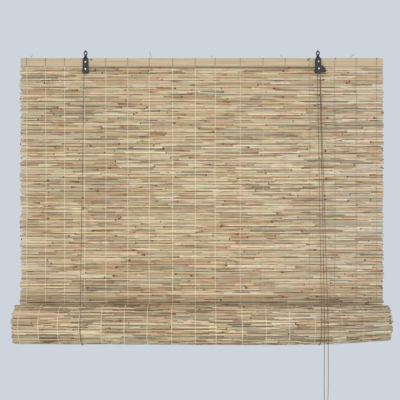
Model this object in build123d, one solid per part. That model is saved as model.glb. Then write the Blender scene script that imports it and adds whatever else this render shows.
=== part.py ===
from build123d import *
import os
from math import asin, atan2, cos, degrees, hypot, pi, radians, sin, tan

# A reed roll up blind, let down by about a third, with the rest of its mat rolled up in two cord slings.
# Millimetres. +X is to the right seen from the room, +Y goes away from the room, +Z is up.
# The origin is midway between the two hanger eyes, on the rear plane of the hangers.

# Reed mat: rows of two reed stems each, held between warp threads
mat_width = 1200.0
mat_thickness = 6.0
row_pitch = 11.5
stems_in_row = 2
hanging_rows = 74
crest_width = 2.6
row_groove = 1.7
stem_groove = 1.1
gap_height = 0.9
gap_shortest = 90.0
gap_longest = 240.0
gap_margin = 12.0

# Warp threads: spacings from the left edge to the right one, shared out over the mat
warp_spacings = [62.6, 62.6, 66.8, 69.9, 72.5, 71.2, 77.5, 74.8, 66.2, 82.8, 75.1, 73.8, 80.8, 83.7, 70.2, 67.5]
warp_edge = 21.0
warp_width = 2.0
warp_thickness = 0.5

# Laths: the headrail, and the bottom lath in the middle of the roll
lath_height = 28.2
lath_thickness = 8.0
lath_round = 1.5
rail_below_eyes = 15.2
lath_seat_gap = 0.15
lath_lead_angle = 20.0

# Roll
roll_crest_diameter = 125.8
roll_layer = 5.6
roll_turn_pitch = 9.2
roll_core_radius = 15.2
roll_segments = 20
roll_warp_sides = 24
mat_tail = 8.0

# Clearances
touch_gap = 0.3
fit_gap = 0.05
running_gap = 0.08
side_gap = 0.2

# Hangers: two stamped plates with an eye, one pair at each side
hanger_inset = 216.0
plate_thickness = 1.2
eye_radius = 6.9
eye_hole_radius = 3.2
eye_tip_height = 11.6
neck_width = 9.2
neck_bottom = 12.0
shoulder_bottom = 18.5
body_width = 18.0
waist_drop = 40.0
foot_width = 22.0
foot_drop = 57.0
hanger_drop = 65.5
foot_round = 4.5
joggle_top = 11.5
joggle_height = 7.5
rib_length = 11.0
rib_width = 3.0
rib_height = 0.6
rib_drop = 39.5

# Pulley sheaves
sheave_drop = 52.3
sheave_flange_radius = 6.4
sheave_width = 4.2
sheave_pin_radius = 2.0
right_sheave_offset = 2.0
rivet_head_radius = 2.7
rivet_head_height = 1.1

# Screws that hold the hangers on the headrail
screw_drop = 29.0
screw_radius = 1.5
screw_head_radius = 2.6
screw_head_height = 1.6
screw_slot = 0.7
screw_depth = 6.5

# Cord lock on the right hanger
lock_pivot_side = 8.3
lock_pivot_rise = 5.8
lock_pivot_radius = 1.5
lock_ear_radius = 4.2
lock_level = 62.0
lock_bar_radius = 1.6
lock_stop_radius = 1.5
lock_gap = 0.15
lock_teeth = 8
lock_tooth_depth = 0.35
lock_cheek_thickness = 1.2
lock_web_thickness = 1.4
lever_reach = 17.0
lever_fall = 12.0
lever_foot = 14.5
lever_bottom = 18.0

# Cords
cord_diameter = 2.5
left_sling_x = -383.0
right_sling_x = 376.5
cord_hole_inset = {"left": 19.0, "right": 32.0}
cord_hole_radius = 1.7
cord_hole_below_top = 5.5
hole_bend_radius = 3.0
rear_bend_radius = 52.0
straight_below_sheave = 12.0
lock_exit_drop = 66.0
straight_below_lock = 10.0
stop_knot_radius = 2.9
lead_above_roll = 6.0
strand_clearance = 3.0
strand_on_roll = {"left": 385.0, "right": 396.0}
strand_at_bend = {"left": 382.5, "right": 397.0}
strand_bend_drop = 1125.0
knot_drop = 1188.0
knot_radius = 4.4
knot_height = 9.0
knot_round = 2.5
knot_x = 389.5
knot_cord_spacing = 3.0
tail_length = 24.0
tail_spread = 4.0

# Levels and depths that follow from the sizes above
half_width = mat_width / 2
stem_pitch = row_pitch / stems_in_row
cord_radius = cord_diameter / 2
rail_top_z = -rail_below_eyes
rail_bottom_z = rail_top_z - lath_height
rail_front_y = warp_thickness
rail_rear_y = rail_front_y + lath_thickness
mat_middle_y = (rail_front_y + rail_rear_y) / 2
mat_front_y = mat_middle_y - mat_thickness / 2
mat_rear_y = mat_middle_y + mat_thickness / 2
mat_bottom_z = rail_bottom_z - hanging_rows * row_pitch
roll_z = mat_bottom_z + mat_tail

crest_radius = roll_crest_diameter / 2
roll_rows = round(2 * pi * crest_radius / row_pitch)
roll_stems = roll_rows * stems_in_row
crest_corner_radius = hypot(crest_radius, crest_width / 2)
ring_inner = crest_corner_radius + fit_gap
ring_outer = ring_inner + warp_thickness
roll_reach = ring_outer / cos(pi / roll_warp_sides)
roll_y = mat_front_y - warp_thickness - touch_gap - roll_reach
sling_radius = roll_reach + touch_gap + cord_radius
strand_radius = roll_reach + strand_clearance + cord_radius
sling_rear_y = mat_rear_y + warp_thickness + touch_gap + cord_radius

hanger_x = {"left": -(half_width - hanger_inset), "right": half_width - hanger_inset}
sheave_x = {"left": hanger_x["left"], "right": hanger_x["right"] + right_sheave_offset}
sheave_z = -sheave_drop
groove_clearance = side_gap
cord_wrap_radius = sheave_flange_radius - cord_radius - 0.5
lock_x = sheave_x["right"] + lock_pivot_side
lock_z = sheave_z + lock_pivot_rise

# Depths of the sheaves and plates, from the rear plate forward
left_sheave_rear_y = -plate_thickness - side_gap
left_front_plate_y = left_sheave_rear_y - sheave_width - side_gap
lever_rear_y = -plate_thickness - side_gap
right_rear_sheave_y = lever_rear_y - lock_cheek_thickness - side_gap
right_front_sheave_y = right_rear_sheave_y - sheave_width - side_gap
lever_front_cheek_y = right_front_sheave_y - sheave_width - side_gap
right_front_plate_y = lever_front_cheek_y - lock_cheek_thickness - side_gap
front_plate_y = {"left": left_front_plate_y, "right": right_front_plate_y}


def warp_positions():
    """The threads' places across the mat."""
    share = (mat_width - 2 * warp_edge) / sum(warp_spacings)
    places = [-half_width + warp_edge]
    for spacing in warp_spacings:
        places.append(places[-1] + spacing * share)
    return places


def across(outline, length=mat_width):
    """A side outline, as (y, z) points, run across the blind."""
    face = make_face(Polyline(*outline, close=True))
    return extrude(Plane.YZ.offset(-length / 2) * face, amount=length)


def slice_at(outline, x, width):
    """A side face, width wide, centred at x."""
    return extrude(Plane.YZ.offset(x - width / 2) * outline, amount=width)


def plate(outline, rear_y, thickness):
    """A front outline, as a sketch of (x, z), with its rear face at rear_y."""
    return extrude(Plane.XZ.offset(-rear_y) * outline, amount=thickness)


def rod(x, z, radius, rear_y, length):
    """A round rod that runs forward from rear_y."""
    return plate(Pos(x, z) * Circle(radius), rear_y, length)


def tube(path):
    """A cord along a path of lines and arcs."""
    section = Plane(origin=path @ 0, z_dir=path % 0) * Circle(cord_radius)
    return sweep(section, path=path)


def rounded_path(points, radii):
    """Straight runs joined by tangent arcs. A single radius is used at each corner."""
    return FilletPolyline(*points, radius=radii)


def save(node, shape):
    """Writes one sub-part."""
    export_step(shape, f"parts/{node}.step")


def stem_ridges(first_groove):
    """Grooves and crests down one stem: (distance down, depth) of the groove at its top, then its crest."""
    return [(0.0, first_groove), (stem_pitch / 2 - crest_width / 2, 0.0), (stem_pitch / 2 + crest_width / 2, 0.0)]


def groove_depth(stem):
    """The groove above a stem: deep between rows, shallow inside a row."""
    return row_groove if stem % stems_in_row == 0 else stem_groove


def make_hanging_mat():
    """The part of the mat that hangs: one ridged wall, with gaps between rows."""
    steps = []
    for stem in range(hanging_rows * stems_in_row):
        top = rail_bottom_z - stem * stem_pitch
        steps += [(top - down, depth) for down, depth in stem_ridges(groove_depth(stem))]
    steps.append((mat_bottom_z, row_groove))
    front = [(mat_front_y + depth, z) for z, depth in steps]
    rear = [(mat_rear_y - depth, z) for z, depth in reversed(steps)]
    mat = across(front + rear)
    return mat - mat_gaps()


def mat_gaps():
    """Narrow gaps between rows, one or two in each join, at uneven places."""
    golden = 0.618034
    gaps = []
    for join in range(1, hanging_rows):
        sides = (-1, 1) if join % 2 == 0 else (-1,) if join % 4 == 1 else (1,)
        for side in sides:
            share = (join * golden + 0.37 * side) % 1
            length = gap_shortest + (gap_longest - gap_shortest) * ((share * 7) % 1)
            room = half_width - length - 2 * gap_margin
            middle = side * (gap_margin + length / 2 + room * share)
            centre = Pos(middle, mat_middle_y, rail_bottom_z - join * row_pitch)
            gaps.append(centre * Box(length, mat_thickness, gap_height))
    return gaps


def make_headrail():
    """The flat lath at the top, with holes for the screws and the lift cords."""
    rail = across(
        [
            (rail_front_y, rail_top_z),
            (rail_rear_y, rail_top_z),
            (rail_rear_y, rail_bottom_z),
            (rail_front_y, rail_bottom_z),
        ]
    )
    rail = fillet(rail.edges().filter_by(Axis.X), lath_round)
    for side in ("left", "right"):
        rail -= rod(hanger_x[side], -screw_drop, screw_radius + fit_gap, rail_front_y + screw_depth, screw_depth)
        rail -= rod(cord_hole_x(side), cord_hole_z(), cord_hole_radius, rail_rear_y, lath_thickness)
    return rail


def cord_hole_x(side):
    """The cord hole is beside the hanger, towards the middle."""
    return hanger_x[side] + (cord_hole_inset[side] if side == "left" else -cord_hole_inset[side])


def cord_hole_z():
    return rail_top_z - cord_hole_below_top


def make_hanging_warps():
    """Threads over the lath and down both faces of the mat, each one flat strip."""
    step = 2.0

    def skin(thickness):
        """One face of the strips: (y, z) down the front or the rear, thickness off the mat."""
        top = rail_top_z + thickness
        front = [(mat_front_y, mat_bottom_z), (mat_front_y, rail_bottom_z - step), (rail_front_y, rail_bottom_z)]
        rear = [(rail_rear_y, rail_bottom_z), (mat_rear_y, rail_bottom_z - step), (mat_rear_y, mat_bottom_z)]
        front = [(y - thickness, z) for y, z in front] + [(rail_front_y - thickness, top)]
        rear = [(rail_rear_y + thickness, top)] + [(y + thickness, z) for y, z in rear]
        return front + rear

    outline = make_face(Polyline(*skin(warp_thickness), *reversed(skin(0.0)), close=True))
    return Compound([slice_at(outline, x, warp_width) for x in warp_positions()])


def round_points(radius, angle):
    """A point of the roll's section, from its middle."""
    return radius * cos(angle), radius * sin(angle)


def spiral_start():
    """The radius where the spiral leaves the outer turn."""
    return crest_radius - roll_layer / 2


def spiral_steps():
    """How many straight pieces the spiral has, down to the core."""
    turns = (spiral_start() - roll_layer - roll_core_radius) / roll_turn_pitch
    return round(turns * roll_segments)


def make_roll_section():
    """The side outline of all turns: a ridged outer turn, and the spiral inside it."""
    outer = []
    for stem in range(roll_stems):
        start = 2 * pi * stem / roll_stems
        middle = start + pi / roll_stems
        half = atan2(crest_width / 2, crest_radius)
        outer.append(round_points(crest_radius - groove_depth(stem), start))
        outer.append(round_points(crest_corner_radius, middle - half))
        outer.append(round_points(crest_corner_radius, middle + half))
    inside = crest_radius - roll_layer
    ring = make_face(Polyline(*outer, close=True)) - RegularPolygon(inside, roll_rows)

    outward = []
    inward = []
    for step in range(spiral_steps() + 1):
        turn = step / roll_segments
        radius = spiral_start() - roll_turn_pitch * turn
        outward.append(round_points(radius, -2 * pi * turn))
        inward.append(round_points(radius - roll_layer, -2 * pi * turn))
    spiral = make_face(Polyline(*outward, *reversed(inward), close=True))
    return Pos(roll_y, roll_z) * (ring + spiral)


def make_rolled_mat():
    """All turns of the roll as one solid."""
    return extrude(Plane.YZ.offset(-half_width) * make_roll_section(), amount=mat_width)


def make_roll_warps():
    """The threads' outer turn, one flat ring for each."""
    ring = RegularPolygon(ring_outer, roll_warp_sides, major_radius=False)
    ring -= RegularPolygon(ring_inner, roll_warp_sides, major_radius=False)
    outline = Pos(roll_y, roll_z) * ring
    return Compound([slice_at(outline, x, warp_width) for x in warp_positions()])


def make_bottom_lath():
    """The lath at the blind's lower end, in the middle of the roll, with one edge against the mat's end."""
    along = lath_lead_angle - 360 * spiral_steps() / roll_segments
    section = Pos(roll_y, roll_z) * Rot(0, 0, along) * RectangleRounded(lath_height, lath_thickness, lath_round)
    room = section.distance_to(make_roll_section()) - lath_seat_gap
    section = Pos(room * cos(radians(along)), room * sin(radians(along))) * section
    return extrude(Plane.YZ.offset(-half_width) * section, amount=mat_width)


def hanger_outline(side):
    """The stamped outline of both plates, seen from the front: eye, neck and body."""
    x = hanger_x[side]
    tip_angle = asin(eye_radius / eye_tip_height)
    tangent = (eye_radius * cos(tip_angle), eye_radius * sin(tip_angle))
    tip = Polyline((-tangent[0], tangent[1]), (0, eye_tip_height), tangent, close=True)
    body = [
        (neck_width / 2, 0),
        (neck_width / 2, -neck_bottom),
        (body_width / 2, -shoulder_bottom),
        (body_width / 2, -waist_drop),
        (foot_width / 2, -foot_drop),
        (foot_width / 2, -hanger_drop),
    ]
    body = body + [(-across_x, z) for across_x, z in reversed(body)]
    body = make_face(Polyline(*body, close=True))
    body = fillet(body.vertices().group_by(Axis.Y)[0], foot_round)
    outline = Pos(x, 0) * (Circle(eye_radius) + make_face(tip) + body)
    if side == "right":
        ear_centre = (lock_x, lock_z)
        ear = Pos(*ear_centre) * Circle(lock_ear_radius)
        arm = Pos(lock_x - lock_ear_radius, lock_z) * Rectangle(2 * lock_ear_radius, 2 * lock_ear_radius)
        outline = outline + ear + arm
    outline -= Pos(x, 0) * Circle(eye_hole_radius)
    return outline


def hanger_holes(side):
    """Round holes through both plates, as (x, z, radius)."""
    holes = [
        (hanger_x[side], -screw_drop, screw_radius + fit_gap),
        (sheave_x[side], sheave_z, sheave_pin_radius + fit_gap),
    ]
    if side == "right":
        holes.append((lock_x, lock_z, lock_pivot_radius + fit_gap))
        holes.append((lock_stop_x(), -lock_level, lock_stop_radius + fit_gap))
    return holes


def cord_right_x():
    """Where both pull strands leave the right sheaves."""
    return sheave_x["right"] + cord_wrap_radius


def lock_stop_x():
    return cord_right_x() - cord_radius - lock_gap - lock_stop_radius


def lock_bar_x():
    return cord_right_x() + cord_radius + lock_gap + lock_bar_radius


def make_rear_plate(side):
    outline = hanger_outline(side)
    for x, z, radius in hanger_holes(side):
        outline -= Pos(x, z) * Circle(radius)
    return plate(outline, 0, plate_thickness)


def make_front_plate(side):
    """The front plate lies on the rear one at the eye, and steps forward over the sheaves."""
    far = front_plate_y[side]
    near = -plate_thickness
    top = eye_tip_height + 1
    low = joggle_top + joggle_height
    slope = atan2(joggle_height, near - far)
    lift = plate_thickness * tan(slope / 2)
    profile = [
        (near, top),
        (near, -joggle_top),
        (far, -low),
        (far, -hanger_drop - 1),
        (far - plate_thickness, -hanger_drop - 1),
        (far - plate_thickness, -low + plate_thickness * tan(pi / 4 - slope / 2)),
        (near - plate_thickness, -joggle_top + plate_thickness * tan(pi / 4 - slope / 2)),
        (near - plate_thickness, top),
    ]
    section = make_face(Polyline(*profile, close=True))
    length = 2 * (foot_width + lock_pivot_side)
    folded = extrude(Plane.YZ.offset(hanger_x[side] - length / 2) * section, amount=length)
    depth = plate_thickness - far + 1
    stamped = plate(hanger_outline(side), 0, depth + lift) & folded
    for x, z, radius in hanger_holes(side):
        stamped -= rod(x, z, radius, 0, depth + lift)
    rib = Pos(hanger_x[side], -rib_drop) * SlotOverall(rib_length, rib_width, rotation=90)
    return stamped + plate(rib, far - plate_thickness, rib_height)


def rivet(x, z, radius, front_y, head_radius):
    """A pin from the rear plate's rear face to a round head on the front plate."""
    shank = rod(x, z, radius, 0, -front_y)
    head = rod(x, z, head_radius, front_y, rivet_head_height)
    head = fillet(head.faces().sort_by(Axis.Y)[0].edges(), rivet_head_height * 0.6)
    return shank + head


def make_mount_screw(side):
    """A slotted pan head screw through both plates into the headrail."""
    x = hanger_x[side]
    seat = front_plate_y[side] - plate_thickness
    end = rail_front_y + screw_depth
    shank = rod(x, -screw_drop, screw_radius, end, end - seat)
    head = rod(x, -screw_drop, screw_head_radius, seat, screw_head_height)
    head = fillet(head.faces().sort_by(Axis.Y)[0].edges(), screw_head_height * 0.5)
    slot = Pos(x, -screw_drop) * Rot(0, 0, 35) * Rectangle(screw_slot, 2 * screw_head_radius)
    slot_depth = screw_head_height * 0.45
    return shank + head - plate(slot, seat - screw_head_height + slot_depth, slot_depth)


def make_sheave(side, rear_y):
    """A grooved wheel on the hanger's pin."""
    groove = cord_radius + groove_clearance
    bore = sheave_pin_radius + running_gap
    middle = sheave_width / 2
    edge = Polyline(
        (cord_wrap_radius, middle - groove),
        (sheave_flange_radius, middle - groove),
        (sheave_flange_radius, 0),
        (bore, 0),
        (bore, sheave_width),
        (sheave_flange_radius, sheave_width),
        (sheave_flange_radius, middle + groove),
        (cord_wrap_radius, middle + groove),
    )
    floor = ThreePointArc(
        (cord_wrap_radius, middle + groove),
        (cord_wrap_radius - groove, middle),
        (cord_wrap_radius, middle - groove),
    )
    profile = Plane.XZ * make_face(edge + floor)
    wheel = revolve(profile, axis=Axis.Z)
    return Pos(sheave_x[side], rear_y, sheave_z) * Rot(90, 0, 0) * wheel


def make_lock_lever():
    """The swinging lever of the cord lock: two cheeks, a toothed bar and a web that joins them."""
    outline = [
        (-4.2, 3.4),
        (3.4, 5.6),
        (lever_reach, -lever_fall),
        (lever_foot, -lever_bottom + 1.5),
        (-2.6, -lever_bottom),
        (-4.6, -6.0),
    ]
    cheek = make_face(Polyline(*outline, close=True))
    cheek = fillet(cheek.vertices(), 1.8)
    cheek = Pos(lock_x, lock_z) * cheek
    bore = Pos(lock_x, lock_z) * Circle(lock_pivot_radius + running_gap)
    lever = plate(cheek - bore, lever_rear_y, lock_cheek_thickness)
    lever += plate(cheek - bore, lever_front_cheek_y, lock_cheek_thickness)
    inner_y = lever_rear_y - lock_cheek_thickness
    span = inner_y - lever_front_cheek_y
    bar_x = lock_bar_x()
    bar = rod(bar_x, -lock_level, lock_bar_radius, inner_y, span)
    for tooth in range(lock_teeth):
        angle = 2 * pi * tooth / lock_teeth
        x = bar_x + lock_bar_radius * cos(angle)
        z = -lock_level + lock_bar_radius * sin(angle)
        bar -= rod(x, z, lock_tooth_depth, inner_y, span)
    web = [
        (lever_reach - 2.6, -lever_fall - 0.6),
        (lever_reach - 1.2, -lever_fall - 1.2),
        (lever_foot - 0.4, -lever_bottom + 2.4),
        (4.5, -lever_bottom + 1.0),
        (4.5, -lever_bottom + 1.0 + lock_web_thickness),
        (lever_foot - 1.4, -lever_bottom + 2.4 + lock_web_thickness),
    ]
    web = Pos(lock_x, lock_z) * make_face(Polyline(*web, close=True))
    return lever + bar + plate(web, inner_y, span)


def lean_angle(top_y, top_z, line_radius):
    """How far a tight cord from (top_y, top_z) to a line round the roll's front leans from upright, in radians."""
    away = top_y - roll_y
    fall = top_z - roll_z
    return atan2(away, fall) + asin(line_radius / hypot(away, fall))


def roll_point(x, angle):
    """On the cord's line round the roll: angle is above the roll's front, in radians."""
    return (x, roll_y - sling_radius * cos(angle), roll_z + sling_radius * sin(angle))


def make_front_cord(side, top_y, sling_x):
    """A lift cord's front run, from its sheave down to the roll."""
    top_x = sheave_x[side] - cord_wrap_radius
    bend_z = sheave_z - straight_below_sheave
    lean = lean_angle(top_y, bend_z, sling_radius)
    points = [(top_x, top_y, sheave_z), (top_x, top_y, bend_z), roll_point(sling_x, lean)]
    radius = 0.45 * straight_below_sheave / tan(lean / 2)
    return tube(rounded_path(points, radius)), lean


def make_sling(x, lean):
    """The cord's bight under the roll, from its front run to its rear run."""
    bottom_z = roll_z - sling_radius
    rear_start_y = sling_rear_y - rear_bend_radius
    start = lean - touch_gap / sling_radius
    half = rear_bend_radius * sin(pi / 4)
    front = ThreePointArc(roll_point(x, start), roll_point(x, (start - pi / 2) / 2), (x, roll_y, bottom_z))
    under = Line((x, roll_y, bottom_z), (x, rear_start_y, bottom_z))
    rear = ThreePointArc(
        (x, rear_start_y, bottom_z),
        (x, rear_start_y + half, bottom_z + rear_bend_radius - half),
        (x, sling_rear_y, bottom_z + rear_bend_radius),
    )
    up = Line((x, sling_rear_y, bottom_z + rear_bend_radius), (x, sling_rear_y, roll_z))
    return tube(Wire([front, under, rear, up]))


def make_rear_cord(side, sling_x):
    """A lift cord's rear run, from its hole in the headrail down behind the mat."""
    x = cord_hole_x(side)
    z = cord_hole_z()
    out_y = rail_rear_y + hole_bend_radius
    points = [(x, rail_front_y, z), (x, out_y, z), (sling_x, sling_rear_y, roll_z + touch_gap)]
    return tube(rounded_path(points, hole_bend_radius * 0.95))


def make_stop_knot(side):
    """The knot on the headrail's front that holds a lift cord in its hole."""
    centre = Pos(cord_hole_x(side), rail_front_y - stop_knot_radius * 0.6, cord_hole_z())
    room = Pos(cord_hole_x(side), rail_front_y - 10, cord_hole_z()) * Box(20, 20, 20)
    return centre * Sphere(stop_knot_radius) & room


def make_crossing_cord():
    """The left cord from its sheave across to the right hanger, round that sheave and through the lock."""
    left_y = left_sheave_rear_y - sheave_width / 2
    right_y = right_rear_sheave_y - sheave_width / 2
    left_x = sheave_x["left"] - cord_wrap_radius
    top_z = sheave_z + cord_wrap_radius
    points = [
        (left_x, left_y, sheave_z),
        (left_x, left_y, top_z),
        (cord_right_x(), right_y, top_z),
        (cord_right_x(), right_y, -lock_exit_drop),
    ]
    return tube(rounded_path(points, cord_wrap_radius * 0.998))


def make_cord_over_sheave():
    """The right cord over its sheave and down through the lock."""
    y = right_front_sheave_y - sheave_width / 2
    left_x = sheave_x["right"] - cord_wrap_radius
    over = ThreePointArc(
        (left_x, y, sheave_z),
        (sheave_x["right"], y, sheave_z + cord_wrap_radius),
        (cord_right_x(), y, sheave_z),
    )
    down = Line((cord_right_x(), y, sheave_z), (cord_right_x(), y, -lock_exit_drop))
    return tube(Wire([over, down]))


def pull_strand_points(strand):
    """The route of a pull strand from the lock to the knot, and the place of its cut above the roll."""
    rear_y = right_rear_sheave_y if strand == "left" else right_front_sheave_y
    y = rear_y - sheave_width / 2
    bend_z = -lock_exit_drop - straight_below_lock
    lean = lean_angle(y, bend_z, strand_radius)
    x = strand_on_roll[strand]
    front_y = roll_y - strand_radius
    rise = strand_radius * tan(lean / 2)
    bend = Vector(cord_right_x(), y, bend_z)
    corner = Vector(x, front_y, roll_z + rise)
    run = (bend - corner).normalized()
    cut = corner + run * (rise + lead_above_roll)
    knot_side = -1 if strand == "left" else 1
    end = Vector(knot_x + knot_side * knot_cord_spacing / 2, front_y, -knot_drop + touch_gap)
    low = Vector(strand_at_bend[strand], front_y, -strand_bend_drop)
    upper = [Vector(cord_right_x(), y, -lock_exit_drop), bend, cut]
    lower = [cut - run * touch_gap, corner, low, end]
    return upper, lower, lean


def make_pull_strand(strand):
    """A pull strand in two lengths: down to the roll's front, and from there to the knot."""
    upper, lower, lean = pull_strand_points(strand)
    upper_radius = 0.45 * straight_below_lock / tan(lean / 2)
    turn = (lower[2] - lower[1]).get_angle(lower[3] - lower[2])
    bend_radius = 0.45 * (lower[3] - lower[2]).length / tan(radians(turn) / 2)
    print(f"{strand} pull strand: radii {upper_radius:.1f}, {strand_radius:.1f}, {bend_radius:.1f}")
    print(f"{strand} pull strand: upper length {rounded_path(upper, upper_radius).length:.1f}")
    lower_path = rounded_path(lower, [strand_radius * 0.99, bend_radius])
    print(f"{strand} pull strand: lower length {lower_path.length:.1f}")
    return tube(rounded_path(upper, upper_radius)), tube(lower_path)


def make_pull_knot():
    """One knot that joins both pull strands, with their two short tails."""
    y = roll_y - strand_radius
    barrel = Cylinder(knot_radius, knot_height)
    barrel = fillet(barrel.edges(), knot_round * 0.8)
    knot = Pos(knot_x, y, -knot_drop - knot_height / 2) * barrel
    for side in (-1, 1):
        x = knot_x + side * knot_cord_spacing / 2
        top = (x, y, -knot_drop - knot_height + 1.5)
        knot += tube(Line(top, (x + side * tail_spread, y, -knot_drop - knot_height - tail_length)))
    return knot


os.makedirs("parts", exist_ok=True)

save("headrail", make_headrail())
save("hanging_mat", make_hanging_mat())
save("hanging_warps", make_hanging_warps())
save("rolled_mat", make_rolled_mat())
save("roll_warps", make_roll_warps())
save("bottom_lath", make_bottom_lath())

for hanger in ("left", "right"):
    head_y = front_plate_y[hanger] - plate_thickness
    save(f"{hanger}_hanger_rear_plate", make_rear_plate(hanger))
    save(f"{hanger}_hanger_front_plate", make_front_plate(hanger))
    save(f"{hanger}_mount_screw", make_mount_screw(hanger))
    pin = rivet(sheave_x[hanger], sheave_z, sheave_pin_radius, head_y, rivet_head_radius)
    save(f"{hanger}_sheave_pin", pin)
    save(f"{hanger}_stop_knot", make_stop_knot(hanger))

save("left_sheave", make_sheave("left", left_sheave_rear_y))
save("right_rear_sheave", make_sheave("right", right_rear_sheave_y))
save("right_front_sheave", make_sheave("right", right_front_sheave_y))

lock_head_y = front_plate_y["right"] - plate_thickness
save("lock_pivot_pin", rivet(lock_x, lock_z, lock_pivot_radius, lock_head_y, rivet_head_radius))
save("lock_stop_pin", rod(lock_stop_x(), -lock_level, lock_stop_radius, 0, -lock_head_y))
save("cord_lock_lever", make_lock_lever())

left_front_y = left_sheave_rear_y - sheave_width / 2
right_front_y = right_front_sheave_y - sheave_width / 2
for name, top_y, sling_x in (("left", left_front_y, left_sling_x), ("right", right_front_y, right_sling_x)):
    front_cord, cord_lean = make_front_cord(name, top_y, sling_x)
    save(f"{name}_cord_front", front_cord)
    save(f"{name}_sling", make_sling(sling_x, cord_lean))
    save(f"{name}_cord_rear", make_rear_cord(name, sling_x))

save("crossing_cord", make_crossing_cord())
save("right_cord_over_sheave", make_cord_over_sheave())

for name in ("left", "right"):
    upper_strand, lower_strand = make_pull_strand(name)
    save(f"{name}_pull_cord_upper", upper_strand)
    save(f"{name}_pull_cord_lower", lower_strand)

save("pull_knot", make_pull_knot())
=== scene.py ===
"""A reed roll up blind with pulley hangers, a cord lock and pull cords, rolled part way up."""
import bpy
import math
import random
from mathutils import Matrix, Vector


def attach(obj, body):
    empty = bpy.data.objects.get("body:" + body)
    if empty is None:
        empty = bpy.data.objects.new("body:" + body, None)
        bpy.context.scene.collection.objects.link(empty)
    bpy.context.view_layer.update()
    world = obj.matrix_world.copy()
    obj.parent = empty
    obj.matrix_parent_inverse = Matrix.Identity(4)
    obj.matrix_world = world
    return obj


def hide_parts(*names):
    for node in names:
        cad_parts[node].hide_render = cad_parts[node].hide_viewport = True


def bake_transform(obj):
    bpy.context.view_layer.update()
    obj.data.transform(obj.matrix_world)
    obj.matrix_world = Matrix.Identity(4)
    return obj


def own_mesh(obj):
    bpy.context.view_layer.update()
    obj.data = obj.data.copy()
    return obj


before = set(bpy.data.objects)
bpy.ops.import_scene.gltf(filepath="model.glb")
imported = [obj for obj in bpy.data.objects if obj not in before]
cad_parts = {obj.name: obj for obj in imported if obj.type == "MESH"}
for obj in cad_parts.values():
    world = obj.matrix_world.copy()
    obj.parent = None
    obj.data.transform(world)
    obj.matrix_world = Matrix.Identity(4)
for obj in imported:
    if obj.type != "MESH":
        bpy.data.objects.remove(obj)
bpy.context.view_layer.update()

# The headrail and the hanging mat, in metres. A stem is one line of reeds, and two make a row.
HALF_WIDTH = 0.6
FULL_WIDTH = (-HALF_WIDTH, HALF_WIDTH)
RAIL_TOP, RAIL_BOTTOM = -0.0152, -0.0434
RAIL_FRONT, RAIL_REAR = 0.0005, 0.0085
CORD_HOLE_Z = -0.0207
MAT_MIDDLE = 0.0045
STEM_PITCH = 0.00575
HANGING_STEMS = 147
HANGING_STEM_RADIUS = 0.00296
WARPS = (-0.579, -0.5164, -0.4538, -0.387, -0.3171, -0.2446, -0.1734, -0.0959, -0.0211, 0.0451,
         0.1279, 0.203, 0.2768, 0.3576, 0.4413, 0.5115, 0.579)

# The roll's axis and how far it rises, in metres
ROLL_Y, ROLL_Z = -0.063311, -0.8864
LIFT = 0.72

# The roll's turns. The stems meet the roll behind it at MEETING from its axis and come in to
# STEM_CIRCLE, then step in once a turn, each time within STEP_SHARE of the turn.
MEETING = 0.0672
STEM_CIRCLE = 0.0601
SECOND_TURN_STEP = 0.0062
TURN_PITCH = 0.0092
CORE = 0.0185
STEP_SHARE = 0.16

# The rolled stems lie a little closer than the hanging ones. Only the outer turns show whole, and
# of the inner turns the bands at both ends.
ROLLED_STEM_RADIUS = 0.0028
STEM_PACKING = 0.965
FIRST_STEM_TURN = 0.004
WHOLE_TURNS, WARPED_TURNS = 1.2, 1.25
END_BAND = 0.12

# The roll's sag, deepest at SAG_X, and how its right end stands up from RISE_X on, in metres
SAG, SAG_X, SAG_REACH = 0.0022, 0.15, 0.28
RISE, RISE_X, RISE_REACH = 0.0055, 0.3, 0.3

# Cord: three plies, laid with so many turns a metre, each with a share of the cord's radius
LIFT_CORD_RADIUS, PULL_CORD_RADIUS = 0.00115, 0.00125
CORD_PLIES, CORD_TWIST, PLY_SHARE = 3, 110, 0.55
CORD_STEP = 0.0022

# Warp thread on the headrail, the mat and the roll, and in loose ends. In the roll it stands off
# the stems' line by THREAD_LAY, and it wanders by up to THREAD_DRIFT from row to row.
RAIL_THREAD_RADIUS, MAT_THREAD_RADIUS, ROLL_THREAD_RADIUS = 0.0007, 0.0008, 0.00085
LOOSE_THREAD_RADIUS, LOOSE_THREAD_STEP = 0.0008, 0.001
THREAD_LAY = 0.0030
THREAD_DRIFT = 0.0004
STRAND_SIDES = 5

FLOOR_Z = -2.75


def hex_colour(code):
    """An sRGB hex colour as linear red, green, blue and alpha."""
    channels = [int(code[i:i + 2], 16) / 255 for i in (1, 3, 5)]
    linear = [c / 12.92 if c <= 0.04045 else ((c + 0.055) / 1.055) ** 2.4 for c in channels]
    return (*linear, 1.0)


def add_node(tree, kind, settings=None, **links):
    """Adds a node, sets its properties, unlinked sockets and ramp stops, and links the rest."""
    node = tree.nodes.new(kind)
    for key, value in (settings or {}).items():
        if key == "stops":
            for stop, (position, code) in zip(node.color_ramp.elements, value):
                stop.position = position
                stop.color = hex_colour(code)
        elif hasattr(node, key):
            setattr(node, key, value)
        else:
            node.inputs[key.replace("_", " ")].default_value = value
    for key, source in links.items():
        tree.links.new(source, node.inputs[key.replace("_", " ")])
    return node


def start_material(name):
    """A new material with its node tree and its surface shader."""
    material = bpy.data.materials.new(name)
    material.use_nodes = True
    return material, material.node_tree, material.node_tree.nodes["Principled BSDF"]


def share_along(x, start, reach):
    """How far x has come over a reach from its start, from 0 to 1."""
    return min(max((x - start) / reach, 0.0), 1.0)


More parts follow.
